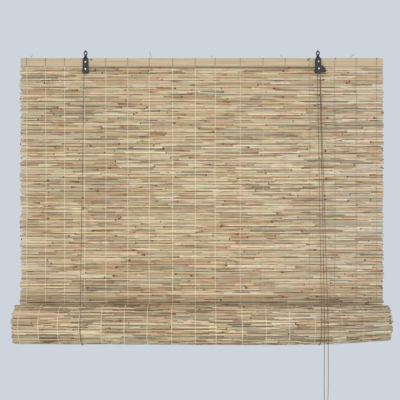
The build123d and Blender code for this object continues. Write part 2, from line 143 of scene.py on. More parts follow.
# The camera stands straight in front of the blind, 2.5 m away
camera_data = bpy.data.cameras.new("camera")
camera_data.lens = 68.4
camera_data.sensor_width = 36
camera = bpy.data.objects.new("camera", camera_data)
camera.location = (-0.0058, -2.515, -0.485)
camera.rotation_euler = (math.radians(90), 0, 0)
bpy.context.collection.objects.link(camera)
bpy.context.scene.camera = camera


def new_piece(name, vertices, faces, body, material, replaces=(), tones=None):
    """A smooth mesh piece that rides on a body and stands for the named nodes."""
    mesh = bpy.data.meshes.new(name)
    mesh.from_pydata(vertices, [], faces)
    mesh.update()
    if tones:
        layer = mesh.attributes.new("tone", "FLOAT_COLOR", "POINT")
        layer.data.foreach_set("color", [value for tone in tones for value in tone])
    mesh.shade_smooth()
    mesh.materials.append(material)
    piece = bpy.data.objects.new(name, mesh)
    bpy.context.collection.objects.link(piece)
    if body:
        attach(piece, body)
    if replaces:
        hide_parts(*replaces)
    return piece


def spline_points(name, route):
    """Points along the smooth line that a route controls."""
    curve = bpy.data.curves.new(name + "_route", "CURVE")
    curve.dimensions = "3D"
    spline = curve.splines.new("NURBS")
    spline.points.add(len(route) - 1)
    for point, place in zip(spline.points, route):
        point.co = (*place, 1)
    spline.order_u = 3
    spline.use_endpoint_u = True
    spline.resolution_u = 24
    holder = bpy.data.objects.new(name + "_route", curve)
    bpy.context.collection.objects.link(holder)
    bpy.context.view_layer.update()
    worked_out = holder.evaluated_get(bpy.context.evaluated_depsgraph_get())
    mesh = bpy.data.meshes.new_from_object(worked_out)
    places = [vertex.co.copy() for vertex in mesh.vertices]
    bpy.data.objects.remove(holder)
    return places


def along(places, step):
    """The same line at even steps, with the distance run at each place."""
    runs = [0.0]
    for a, b in zip(places, places[1:]):
        runs.append(runs[-1] + (b - a).length)
    count = max(2, round(runs[-1] / step))
    found = []
    k = 0
    for i in range(count + 1):
        want = runs[-1] * i / count
        while k < len(runs) - 2 and runs[k + 1] < want:
            k += 1
        share = (want - runs[k]) / max(runs[k + 1] - runs[k], 1e-9)
        found.append((places[k].lerp(places[k + 1], share), want))
    return found


def strand_mesh(places, radius, step, twist=0.0, plies=1, run_before=0.0):
    """Plies laid round a line with twist turns a metre. run_before is the cord above this run."""
    vertices, faces = [], []
    samples = along(places, step)
    ply_radius = radius if plies == 1 else radius * PLY_SHARE
    offset = 0.0 if plies == 1 else radius - ply_radius
    for ply in range(plies):
        rings = []
        for i, (place, run) in enumerate(samples):
            ahead = samples[min(i + 1, len(samples) - 1)][0] - samples[max(i - 1, 0)][0]
            ahead.normalize()
            side = Vector((1, 0, 0)) - ahead * ahead.x
            if side.length < 0.3:  # the line runs along the headrail
                side = Vector((0, 1, 0)) - ahead * ahead.y
            side.normalize()
            up = ahead.cross(side)
            turn = 2 * math.pi * ((run_before + run) * twist + ply / plies)
            centre = place + (side * math.cos(turn) + up * math.sin(turn)) * offset
            ring = []
            for k in range(STRAND_SIDES):
                angle = 2 * math.pi * k / STRAND_SIDES + turn
                ring.append(len(vertices))
                skin = side * math.cos(angle) + up * math.sin(angle)
                vertices.append(centre + skin * ply_radius)
            rings.append(ring)
        for a, b in zip(rings, rings[1:]):
            for k in range(STRAND_SIDES):
                j = (k + 1) % STRAND_SIDES
                faces.append((a[k], a[j], b[j], b[k]))
        faces.append(tuple(reversed(rings[0])))
        faces.append(tuple(rings[-1]))
    return vertices, faces, samples


def millimetres(*points):
    """Points given in millimetres, as vectors in metres."""
    return [Vector(p) / 1000 for p in points]


def cord_material():
    """Twisted jute cord: matt brown fibre with paler flecks. Its slanting lay is modelled."""
    material, tree, shader = start_material("twisted_jute_cord")
    place = add_node(tree, "ShaderNodeTexCoord")
    # fibre flecks about 2 mm apart, coarser than the real ones so that they show
    fleck = add_node(tree, "ShaderNodeTexNoise", {"Scale": 450.0, "Detail": 3.0},
                     Vector=place.outputs["Object"])
    ramp = add_node(tree, "ShaderNodeValToRGB", {"stops": ((0.3, "#584230"), (0.7, "#91734f"))},
                    Fac=fleck.outputs["Fac"])
    tree.links.new(ramp.outputs["Color"], shader.inputs["Base Color"])
    bump = add_node(tree, "ShaderNodeBump", {"Strength": 0.4, "Distance": 0.0003},
                    Height=fleck.outputs["Fac"])
    tree.links.new(bump.outputs["Normal"], shader.inputs["Normal"])
    shader.inputs["Roughness"].default_value = 0.85
    shader.inputs["Sheen Weight"].default_value = 0.25
    return material


CORD = cord_material()


# At the top of its travel the roll stands 64 mm in front of the mat, close under the hangers. A
# cord that comes down in front goes over it there, through these places: angle above the rear, and
# distance from the roll's middle. A lift cord stays still above BELOW_HANGER, where it leaves its
# hanger.
FRONT_CORD_WRAP = ((118, 0.0730), (136, 0.0706), (154, 0.0680))
PULL_CORD_WRAP = ((118, 0.0745), (134, 0.0727), (151, 0.0708))
BELOW_HANGER = -0.0685


def lifted_runs(places, wrap, still_z=None):
    """Cuts a tight cord into runs, so that it bends over the raised roll.

    Each run shortens by its own share. Gives (places, length above the run, anchor height, share
    kept) for each run. Above still_z the cord stays as it is."""
    samples = [place for place, _ in along(places, CORD_STEP)]
    marks = [(0, samples[0].z)]
    if still_z is not None:
        first = next(i for i, place in enumerate(samples) if place.z <= still_z)
        marks.append((first, samples[first].z))
    for angle, reach in wrap:
        y = ROLL_Y + reach * math.cos(math.radians(angle))
        nearest = min(range(len(samples)), key=lambda i: abs(samples[i].y - y))
        marks.append((nearest, ROLL_Z + LIFT + reach * math.sin(math.radians(angle))))
    marks.append((len(samples) - 1, samples[-1].z + LIFT))
    runs, above = [], 0.0
    for (i, high), (j, low) in zip(marks, marks[1:]):
        keep = (high - low) / (samples[i].z - samples[j].z)
        anchor = (high - keep * samples[i].z) / (1 - keep) if keep < 0.999 else None
        run = samples[i:j + 1]
        runs.append((run, above, anchor, keep))
        above += sum((b - a).length for a, b in zip(run, run[1:]))
    return runs


def cord_run(name, places, radius, node, run_before=0.0, anchor=None, body="frame"):
    """One run of twisted cord. A run with an anchor, the height that it would shorten towards as
    the roll rises, gets a mesh of its own.
    """
    vertices, faces, samples = strand_mesh(places, radius, CORD_STEP, CORD_TWIST, CORD_PLIES,
                                           run_before)
    piece = new_piece(name, vertices, faces, body, CORD, [node])
    if anchor is not None:
        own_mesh(piece)
    return piece, samples


def front_cord(name, route, node):
    """A lift cord's front run: it passes under the hanger, then down to the roll's front."""
    runs = lifted_runs(spline_points(name, route), FRONT_CORD_WRAP, BELOW_HANGER)
    for k, (places, above, anchor, keep) in enumerate(runs):
        cord_run(f"{name}_{k + 1}", places, LIFT_CORD_RADIUS, node, above, anchor)


def rear_cord(name, route, node):
    """A lift cord's rear run: from its hole in the headrail straight down behind the mat."""
    places = spline_points(name, route)
    cord_run(name, places, LIFT_CORD_RADIUS, node, anchor=CORD_HOLE_Z)


def reed_material():
    """Dried reed, split from its sheath: straw with a satin skin and fine lengthwise grain.

    Each reed's own tone, its reddish brown ends, and the painted shade and painted highlights of
    its dark and pale strips, come from the mesh."""
    material, tree, shader = start_material("dried_reed")
    tone = add_node(tree, "ShaderNodeAttribute", {"attribute_name": "tone"})
    place = add_node(tree, "ShaderNodeTexCoord")
    # grain lines 0.9 mm apart across the reed and 60 mm long, coarser than real so that they show
    stretch = add_node(tree, "ShaderNodeMapping", {"Scale": (16.0, 1100.0, 1100.0)},
                       Vector=place.outputs["Object"])
    grain = add_node(tree, "ShaderNodeTexNoise", {"Scale": 1.0, "Detail": 3.0, "Roughness": 0.6},
                     Vector=stretch.outputs["Vector"])
    shade = add_node(tree, "ShaderNodeMapRange",
                     {"From_Min": 0.3, "From_Max": 0.7, "To_Min": 0.8, "To_Max": 1.12},
                     Value=grain.outputs["Fac"])
    # weather stains 25 mm long and 6 mm high on the skin
    blotch_stretch = add_node(tree, "ShaderNodeMapping", {"Scale": (40.0, 170.0, 170.0)},
                              Vector=place.outputs["Object"])
    blotch = add_node(tree, "ShaderNodeTexNoise", {"Scale": 1.0, "Detail": 2.0},
                      Vector=blotch_stretch.outputs["Vector"])
    stain = add_node(tree, "ShaderNodeMapRange",
                     {"From_Min": 0.54, "From_Max": 0.72, "To_Min": 0.0, "To_Max": 0.5},
                     Value=blotch.outputs["Fac"])
    # patches about 80 mm long and 15 mm high, where the reed dried greener or pinker
    patch_stretch = add_node(tree, "ShaderNodeMapping", {"Scale": (12.0, 66.0, 66.0)},
                             Vector=place.outputs["Object"])
    patch = add_node(tree, "ShaderNodeTexNoise", {"Scale": 1.0, "Detail": 1.0},
                     Vector=patch_stretch.outputs["Vector"])
    tint = add_node(tree, "ShaderNodeValToRGB", {"stops": ((0.36, "#f6faec"), (0.64, "#fff3ee"))},
                    Fac=patch.outputs["Fac"])
    tinted = add_node(tree, "ShaderNodeVectorMath", {"operation": "MULTIPLY"})
    tree.links.new(tone.outputs["Color"], tinted.inputs[0])
    tree.links.new(tint.outputs["Color"], tinted.inputs[1])
    shaded = add_node(tree, "ShaderNodeVectorMath", {"operation": "SCALE"},
                      Vector=tinted.outputs["Vector"], Scale=shade.outputs["Result"])
    stained = add_node(tree, "ShaderNodeMix", {"data_type": "RGBA", "blend_type": "MULTIPLY"})
    tree.links.new(stain.outputs["Result"], stained.inputs[0])
    tree.links.new(shaded.outputs["Vector"], stained.inputs[6])
    stained.inputs[7].default_value = hex_colour("#c9ab8c")
    tree.links.new(stained.outputs[2], shader.inputs["Base Color"])
    bump = add_node(tree, "ShaderNodeBump", {"Strength": 0.35, "Distance": 0.0004},
                    Height=grain.outputs["Fac"])
    tree.links.new(bump.outputs["Normal"], shader.inputs["Normal"])
    shader.inputs["Roughness"].default_value = 0.5
    shader.inputs["Specular IOR Level"].default_value = 0.4
    return material


def cotton_material():
    """Bleached cotton warp thread: matt white, greyer in the fibre, times the mesh's tone, which
    carries painted shade on the right-hand warps.
    """
    material, tree, shader = start_material("bleached_cotton_thread")
    place = add_node(tree, "ShaderNodeTexCoord")
    # fibre 1.7 mm apart, coarser than the real one so that it shows
    fibre = add_node(tree, "ShaderNodeTexNoise", {"Scale": 600.0, "Detail": 2.0},
                     Vector=place.outputs["Object"])
    ramp = add_node(tree, "ShaderNodeValToRGB", {"stops": ((0.3, "#d9d4c8"), (0.6, "#f7f4ea"))},
                    Fac=fibre.outputs["Fac"])
    tone = add_node(tree, "ShaderNodeAttribute", {"attribute_name": "tone"})
    soiled = add_node(tree, "ShaderNodeVectorMath", {"operation": "MULTIPLY"})
    tree.links.new(ramp.outputs["Color"], soiled.inputs[0])
    tree.links.new(tone.outputs["Color"], soiled.inputs[1])
    tree.links.new(soiled.outputs["Vector"], shader.inputs["Base Color"])
    shader.inputs["Roughness"].default_value = 0.9
    shader.inputs["Sheen Weight"].default_value = 0.2
    return material


def lath_material():
    """Planed softwood lath: pale tan, with long soft grain and a dull satin surface."""
    material, tree, shader = start_material("planed_softwood")
    place = add_node(tree, "ShaderNodeTexCoord")
    # grain 3 mm apart across the lath and 200 mm long
    stretch = add_node(tree, "ShaderNodeMapping", {"Scale": (5.0, 330.0, 330.0)},
                       Vector=place.outputs["Object"])
    grain = add_node(tree, "ShaderNodeTexNoise",
                     {"Scale": 1.0, "Detail": 5.0, "Roughness": 0.62, "Distortion": 0.4},
                     Vector=stretch.outputs["Vector"])
    ramp = add_node(tree, "ShaderNodeValToRGB", {"stops": ((0.32, "#a8936f"), (0.62, "#c4b295"))},
                    Fac=grain.outputs["Fac"])
    tree.links.new(ramp.outputs["Color"], shader.inputs["Base Color"])
    bump = add_node(tree, "ShaderNodeBump", {"Strength": 0.25, "Distance": 0.0003},
                    Height=grain.outputs["Fac"])
    tree.links.new(bump.outputs["Normal"], shader.inputs["Normal"])
    shader.inputs["Roughness"].default_value = 0.6
    return material


def metal_material(name, dark, light, metallic, roughness, scale):
    """A metal finish with wear: two tones in a noise whose scale is in patches a metre."""
    material, tree, shader = start_material(name)
    place = add_node(tree, "ShaderNodeTexCoord")
    wear = add_node(tree, "ShaderNodeTexNoise", {"Scale": scale, "Detail": 4.0, "Roughness": 0.65},
                    Vector=place.outputs["Object"])
    ramp = add_node(tree, "ShaderNodeValToRGB", {"stops": ((0.5, dark), (0.7, light))},
                    Fac=wear.outputs["Fac"])
    tree.links.new(ramp.outputs["Color"], shader.inputs["Base Color"])
    rough = add_node(tree, "ShaderNodeMapRange",
                     {"From_Min": 0.3, "From_Max": 0.7,
                      "To_Min": roughness - 0.08, "To_Max": roughness + 0.12},
                     Value=wear.outputs["Fac"])
    tree.links.new(rough.outputs["Result"], shader.inputs["Roughness"])
    bump = add_node(tree, "ShaderNodeBump", {"Strength": 0.15, "Distance": 0.0002},
                    Height=wear.outputs["Fac"])
    tree.links.new(bump.outputs["Normal"], shader.inputs["Normal"])
    shader.inputs["Metallic"].default_value = metallic
    return material


REED = reed_material()
COTTON = cotton_material()
LATH = lath_material()
# Black stoved enamel on pressed steel, rubbed to brownish grey in places 3 mm wide
ENAMEL = metal_material("black_enamelled_steel", "#141314", "#383536", 0.2, 0.42, 300.0)
# Bright zinc plate, with faint clouds 2 mm wide
ZINC = metal_material("zinc_plated_steel", "#b9bcc0", "#dcdedf", 1.0, 0.32, 500.0)
# Zinc plate gone dull and dark on the lock's two pins, in clouds 2 mm wide
DULL_ZINC = metal_material("dulled_zinc_plate", "#4b4c4f", "#6b6d70", 1.0, 0.5, 500.0)
# Turned brass sheaves, dulled in patches 2.5 mm wide
BRASS = metal_material("dull_brass", "#8d7440", "#b39655", 1.0, 0.38, 400.0)

finishes = {
    "headrail": LATH, "bottom_lath": LATH,
    "left_hanger_rear_plate": ENAMEL, "left_hanger_front_plate": ENAMEL,
    "right_hanger_rear_plate": ENAMEL, "right_hanger_front_plate": ENAMEL,
    "cord_lock_lever": ENAMEL,
    "left_mount_screw": ZINC, "right_mount_screw": ZINC,
    "left_sheave_pin": ZINC, "right_sheave_pin": ZINC,
    "lock_pivot_pin": DULL_ZINC, "lock_stop_pin": DULL_ZINC,
    "left_sheave": BRASS, "right_rear_sheave": BRASS, "right_front_sheave": BRASS,
    "crossing_cord": CORD, "right_cord_over_sheave": CORD,
    "left_sling": CORD, "right_sling": CORD,
    "left_stop_knot": CORD, "right_stop_knot": CORD, "pull_knot": CORD,
}
for node, finish in finishes.items():
    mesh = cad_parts[node].data
    mesh.materials.clear()
    mesh.materials.append(finish)


# Each pull strand's route in millimetres, in two stretches: from the lock to the roll's front, and
# from there down to the knot
PULL_ROUTES = {
    "left": (
        millimetres((390.65, -4.9, -66), (390.65, -4.9, -76), (385.06, -130.48, -870.6)),
        millimetres((385.06, -130.52, -870.9), (385, -131.57, -881.1), (384.9, -131.57, -892),
                    (382.5, -131.57, -1125), (388, -131.57, -1187.7)),
    ),
    "right": (
        millimetres((390.65, -9.3, -66), (390.65, -9.3, -76), (395.95, -130.55, -871.1)),
        millimetres((395.96, -130.58, -871.4), (396, -131.57, -881.5), (396.05, -131.57, -892),
                    (397, -131.57, -1125), (391, -131.57, -1187.7)),
    ),
}

for strand, (upper, lower) in PULL_ROUTES.items():
    name = f"{strand}_pull_cord_upper"
    runs = lifted_runs(spline_points(name, upper), PULL_CORD_WRAP)
    for k, (places, above, anchor, keep) in enumerate(runs):
        piece, samples = cord_run(f"{name}_lay_{k + 1}", places, PULL_CORD_RADIUS, name, above,
                                  anchor)
    name = f"{strand}_pull_cord_lower"
    places = spline_points(name, lower)
    piece, samples = cord_run(f"{name}_lay", places, PULL_CORD_RADIUS, name, body=None)
    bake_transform(piece)

front_cord("left_cord_front_lay",
           millimetres((-388.65, -3.5, -52.3), (-388.65, -3.5, -64.3), (-383, -128.2, -876.8)),
           "left_cord_front")
front_cord("right_cord_front_lay",
           millimetres((381.35, -9.3, -52.3), (381.35, -9.3, -64.3), (376.5, -128.2, -877.2)),
           "right_cord_front")
rear_cord("left_cord_rear_lay",
          millimetres((-365, 2, -20.7), (-365, 11.5, -20.7), (-366, 9.55, -60),
                      (-383, 9.55, -886.1)),
          "left_cord_rear")
rear_cord("right_cord_rear_lay",
          millimetres((352, 2, -20.7), (352, 11.5, -20.7), (352.6, 9.55, -60),
                      (376.5, 9.55, -886.1)),
          "right_cord_rear")


def straight(x):
    """No bend anywhere along the blind's width."""
    return Vector((0, 0))


class Reeds:
    """Gathers reed stems into one mesh. Each stem's vertices carry its tone.

    centre is a line's (y, z) place, and out and up are its (y, z) directions. Lengths are in
    metres, and share is how often a strip or splinter is there."""

    STRAW = [hex_colour(c) for c in ("#dac8a8", "#d0b895", "#decfb2", "#c9b08d", "#d5c4a3",
                                     "#c4ae8d", "#e4d8bd")]
    GREY = [hex_colour(c) for c in ("#bbb09a", "#aea38a", "#c5b9a3")]
    RUST = [hex_colour(c) for c in ("#b29069", "#a5805b", "#bd9b74", "#98765a", "#b0895f")]
    # Dark reed ends: the reed's own dark cut end, with painted shade in its hollow
    END = [hex_colour(c) for c in ("#57412f", "#66492f", "#755438", "#4a382a")]
    # Dark sheath, which also stands for painted shade in the grooves and in the gaps through the
    # mat
    SHEATH_AND_SHADE = [hex_colour(c) for c in ("#6f5439", "#7d6041", "#8d6d4b", "#5f4632")]
    # Pale splinters, which also stand for painted highlights
    PALE = [hex_colour(c) for c in ("#efe2c4", "#e8d9b8", "#f3e9d0")]

    # How far a line's ends stand in or out, then the shortest reed, the shortest one at a line's
    # end, and the least room that gets another reed
    RAGGED = 0.004
    SHORTEST, SHORTEST_LAST, LEAST = 0.055, 0.03, 0.012
    # How far every other reed lies outwards, how much a reed slants, and how its ends are rounded
    OVER, SLANT, ROUNDED = 0.00045, 0.0009, 0.0016
    # Reeds longer than this have a knuckle
    KNUCKLED = 0.12

    def __init__(self, seed, light=(0.86, 1.1)):
        self.vertices, self.faces, self.tones = [], [], []
        self.chance = random.Random(seed)
        self.light = light

    def stem(self, rings, out, up, sides):
        """One stem through its rings, which are (x, (y, z) place, radius, tone)."""
        first = len(self.vertices)
        across, rise = Vector((0, *out)), Vector((0, *up))
        for x, place, radius, tone in rings:
            centre = Vector((x, *place))
            for k in range(sides):
                angle = 2 * math.pi * k / sides
                side = across * math.cos(angle) + rise * math.sin(angle)
                self.vertices.append(centre + side * radius)
                self.tones.append(tone)
        for i in range(len(rings) - 1):
            a = first + i * sides
            for k in range(sides):
                j = (k + 1) % sides
                self.faces.append((a + k, a + sides + k, a + sides + j, a + j))
        last = first + (len(rings) - 1) * sides
        self.faces.append(tuple(first + k for k in range(sides)))
        self.faces.append(tuple(last + sides - 1 - k for k in range(sides)))

    def line(self, centre, out, up, left, right, radius, longest=0.21, bend=straight, loose=0.0002):
        """One line of short reeds laid end to end."""
        chance = self.chance
        x = left + chance.uniform(-self.RAGGED, self.RAGGED)
        end = right + chance.uniform(-self.RAGGED, self.RAGGED)
        over = 1
        while x < end - self.LEAST:
            length = min(chance.uniform(self.SHORTEST, longest), end - x)
            if end - x - length < self.SHORTEST_LAST:
                length = end - x
            size = radius * chance.uniform(0.95, 1.05)
            over = -over
            depth = self.OVER * over + chance.uniform(-loose, loose)
            tilt = chance.uniform(-self.SLANT, self.SLANT)
            # most reeds are straw, some grey, and all are paler and cooler towards the right
            tone = chance.choice(self.STRAW if chance.random() < 0.86 else self.GREY)
            light = chance.uniform(*self.light)
            bleach = 0.14 * share_along(x, 0.05, 0.4)
            bleached = (1.0, 1.0 + bleach * 0.25, 1.0 + bleach)
            tone = tuple(c * light * b for c, b in zip(tone[:3], bleached)) + (1.0,)
            # at one end, many reeds have a dark tip, their dark cut end with painted shade in its
            # hollow, and some of those a rusty stretch behind it
            end_tone = chance.choice(self.END)
            rust = chance.choice(self.RUST)
            tip = chance.uniform(0.0015, 0.004) if chance.random() < 0.45 else 0.0
            fade = chance.uniform(0.015, 0.07) if chance.random() < 0.4 else 0.004
            at_left = chance.random() < 0.4
            cut_end = x <= left + 0.005 if at_left else x + length >= right - 0.005
            if cut_end and chance.random() < 0.75:
                tip = 0.0
            knuckle = chance.uniform(0.35, 0.65) * length
            # distance along the reed, and its radius there as a share of the full one
            stops = [(0.0, 0.8), (self.ROUNDED, 1.0), (length - self.ROUNDED, 1.0), (length, 0.8),
                     (tip, 1.0), (tip + 0.001, 1.0), (min(tip + fade, length - 0.002), 1.0)]
            if length > self.KNUCKLED:
                stops += [(knuckle - 0.002, 0.99), (knuckle, 1.08), (knuckle + 0.002, 0.99)]
            rings = []
            for run, swell in sorted(stops):
                if run < 0 or run > length:
                    continue
                if swell > 1.05:
                    ring_tone = tuple(0.6 * a + 0.4 * b for a, b in zip(tone, rust))
                elif tip and run <= tip:
                    ring_tone = end_tone
                elif tip and run < tip + fade - 0.0005 and fade > 0.01:
                    ring_tone = rust
                else:
                    ring_tone = tone
                run = run if at_left else length - run
                place = centre + out * depth + up * (tilt * (0.5 - run / length)) + bend(x + run)
                rings.append((x + run, place, size * swell, ring_tone))
            self.stem(rings if at_left else rings[::-1], out, up, 6)
            x += length - chance.uniform(0.0005, 0.004)

    def slivers(self, centre, out, up, left, right, thin, thick, share, bend=straight):
        """Dark strips of sheath, thin to thick in radius, in a groove between two lines, which also
        stand for painted shade in the groove.
        """
        chance = self.chance
        x = left + chance.uniform(0, 0.05)
        while x < right - 0.03:
            length = min(chance.uniform(0.04, 0.2), right - x)
            if chance.random() < share:
                radius = chance.uniform(thin, thick)
                tone = chance.choice(self.SHEATH_AND_SHADE)
                wander = chance.uniform(-0.0005, 0.0005)
                shape = ((0.0, 0.5, -wander), (length * 0.4, 1.0, wander), (length, 0.9, -wander))
                rings = []
                for run, swell, side in shape:
                    place = centre + up * side + bend(x + run)
                    rings.append((x + run, place, radius * swell, tone))
                self.stem(rings, out, up, 4)
            x += length + chance.uniform(0.0, 0.03)

    def splinters(self, centre, out, up, left, right, share, tones, thick, bend=straight):
        """Thin strips, 25 to 110 mm long, proud over a groove. Most have one darker end. Dark
        strips also stand for painted shade lines, and pale ones for painted highlights.
        """
        chance = self.chance
        x = left + chance.uniform(0.004, 0.1)
        while x < right - 0.04:
            length = min(chance.uniform(0.025, 0.11), right - x - 0.004)
            if chance.random() < share:
                radius = thick * chance.uniform(0.75, 1.15)
                tone = chance.choice(tones)
                last = chance.choice(self.END) if chance.random() < 0.6 else tone
                wander = chance.uniform(-0.0009, 0.0009)
                flip = chance.random() < 0.35
                shape = ((0.0, 0.4, -wander, tone), (length * 0.35, 1.0, wander * 0.4, tone),
                         (length - 0.005, 0.95, wander, tone), (length - 0.004, 1.1, wander, last),
                         (length, 0.7, wander, last))
                rings = []
                for run, swell, side, colour in shape:
                    run = length - run if flip else run
                    place = centre + up * side + bend(x + run)
                    rings.append((x + run, place, radius * swell, colour))
                self.stem(rings[::-1] if flip else rings, out, up, 5)
            x += length + chance.uniform(0.0, 0.06)


OUT, UP = Vector((-1, 0)), Vector((0, 1))


def hanging_mat():
    """The hanging stems, and the strips and splinters in front of and behind their grooves: dark
    sheath that also stands for painted shade in and behind the grooves, and pale splinters that
    also stand for painted highlights.
    """
    reeds, strips = Reeds(11), Reeds(12)
    for k in range(HANGING_STEMS):
        z = RAIL_BOTTOM - (k + 0.5) * STEM_PITCH
        row_shift = 0.0002 if k % 2 else -0.0002
        reeds.line(Vector((MAT_MIDDLE, z + row_shift)), OUT, UP, *FULL_WIDTH, HANGING_STEM_RADIUS)
        groove = Vector((MAT_MIDDLE - 0.0006, z + STEM_PITCH / 2))
        between_rows = k % 2 == 0
        thick, often, splintered = (0.0014, 0.95, 0.34) if between_rows else (0.0011, 0.6, 0.16)
        # painted shade: dark sheath strips in each groove, and behind it, so that gaps through the
        # mat look dark
        strips.slivers(groove, OUT, UP, *FULL_WIDTH, 0.0009, thick, often)
        strips.slivers(groove + Vector((0.0013, 0)), OUT, UP, *FULL_WIDTH, 0.001, 0.0013, 0.95)
        # dark splinters in front and behind, also painted shade lines, and pale ones in front, also
        # painted highlights
        strips.splinters(groove + OUT * 0.0018, OUT, UP, *FULL_WIDTH, splintered, strips.SHEATH_AND_SHADE,
                         0.0011)
        strips.splinters(groove + OUT * 0.002, OUT, UP, *FULL_WIDTH, 0.1, strips.PALE, 0.001)
        strips.splinters(groove - OUT * 0.003, OUT, UP, *FULL_WIDTH, 0.2, strips.SHEATH_AND_SHADE, 0.0011)
    for name, made in (("hanging_reeds", reeds), ("hanging_sheath_shade_and_highlight_strips", strips)):
        piece = new_piece(name, made.vertices, made.faces, "frame", REED, ["hanging_mat"],
                          made.tones)
        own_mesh(piece)


def roll_radius(turn):
    """Distance of the stems' line from the roll's middle, turn turns on from the meeting place."""
    whole = math.floor(turn)
    ease = min((turn - whole) / STEP_SHARE, 1.0)
    ease = ease * ease * (3 - 2 * ease)
    if whole == 0:
        return MEETING + (STEM_CIRCLE - MEETING) * ease
    outer = STEM_CIRCLE if whole == 1 else STEM_CIRCLE - SECOND_TURN_STEP - TURN_PITCH * (whole - 2)
    return outer - (SECOND_TURN_STEP if whole == 1 else TURN_PITCH) * ease


def roll_bend(x):
    """The roll sags a little right of its middle, and its right end stands up."""
    sag = -SAG * math.exp(-((x - SAG_X) / SAG_REACH) ** 2)
    rise = RISE * max(0.0, (x - RISE_X) / RISE_REACH) ** 2
    return Vector((0, sag + rise))


def roll_taper(x, radius):
    """The roll is wound tighter towards its right end, by up to a tenth of a turn's radius."""
    share = share_along(x, 0.38, 0.22)
    return -0.1 * radius * share * share * (3 - 2 * share)


def rolled_mat():
    """The rolled stems, turn by turn from where the mat meets the roll to its core."""
    # painted shade: the rolled reeds take a darker and wider range of tones than the hanging ones
    reeds = Reeds(23, (0.62, 1.08))
    count, turn = 0, FIRST_STEM_TURN
    while True:
        radius = roll_radius(turn)
        if radius < CORE:
            break
        angle = -2 * math.pi * turn
        out = Vector((math.cos(angle), math.sin(angle)))
        up = Vector((-math.sin(angle), math.cos(angle)))
        centre = Vector((ROLL_Y, ROLL_Z)) + out * radius

        def bend(x, out=out, radius=radius):
            return roll_bend(x) + out * roll_taper(x, radius)

        if turn < WHOLE_TURNS:
            first_in_row = count % 2 == 0
            pair = up * (0.0004 if first_in_row else -0.0004)
            reeds.line(centre - pair, out, up, *FULL_WIDTH, ROLLED_STEM_RADIUS, bend=bend,
                       loose=0.0006)
            groove = centre - up * (STEM_PITCH / 2) + out * 0.0004
            # dark sheath strips in the grooves, also painted shade
            reeds.slivers(groove, out, up, *FULL_WIDTH, 0.0008, 0.0012,
                          0.5 if first_in_row else 0.8, bend=bend)
            # dark splinters, also painted shade lines, and pale ones, also painted highlights
            proud = centre - up * (STEM_PITCH / 2) + out * 0.0019
            reeds.splinters(proud, out, up, *FULL_WIDTH, 0.5, reeds.SHEATH_AND_SHADE, 0.0012, bend=bend)
            reeds.splinters(proud, out, up, *FULL_WIDTH, 0.3, reeds.PALE, 0.001, bend=bend)
        else:
            for low, high in ((-HALF_WIDTH, -HALF_WIDTH + END_BAND),
                              (HALF_WIDTH - END_BAND, HALF_WIDTH)):
                reeds.line(centre, out, up, low, high, ROLLED_STEM_RADIUS, longest=END_BAND,
                           bend=bend)
        count += 1
        turn += STEM_PITCH * STEM_PACKING / (2 * math.pi * radius)
    piece = new_piece("rolled_reeds", reeds.vertices, reeds.faces, "roll", REED, ["rolled_mat"],
                      reeds.tones)


# The first two are the thread's own white and the grey of painted shade on the right-hand warps;
# the third is the thread over the headrail
UNSHADED_THREAD, SHADED_THREAD, DUSTY = hex_colour("#f4ead9"), hex_colour("#a5968a"), hex_colour("#9c8d7b")
TAIL_TONE, CURL_TONE = hex_colour("#8f877d"), hex_colour("#e6dfd2")
KNOT_TONE, BROWN_KNOT_TONE = hex_colour("#b5a48c"), hex_colour("#8a7460")


def shade_towards_right(x, most=1.0):
    """Thread tone: its own white at the left, greyer with painted shade over the right third, by up
    to most.
    """
    share = most * share_along(x, 0.08, 0.3)
    return tuple(a + (b - a) * share for a, b in zip(UNSHADED_THREAD, SHADED_THREAD))


def thread(vertices, faces, tones, places):
    """A thread through (place, outward direction, tone, radius), a quarter wider than thick."""
    across = Vector((1, 0, 0))
    rings = []
    for place, out, tone, radius in places:
        ring = []
        for k in range(STRAND_SIDES):
            angle = 2 * math.pi * k / STRAND_SIDES
            ring.append(len(vertices))
            side = across * math.cos(angle) * 1.25 + out * math.sin(angle)
            vertices.append(place + side * radius)
            tones.append(tone)
        rings.append(ring)
    for a, b in zip(rings, rings[1:]):
        for k in range(STRAND_SIDES):
            j = (k + 1) % STRAND_SIDES
            faces.append((a[k], a[j], b[j], b[k]))


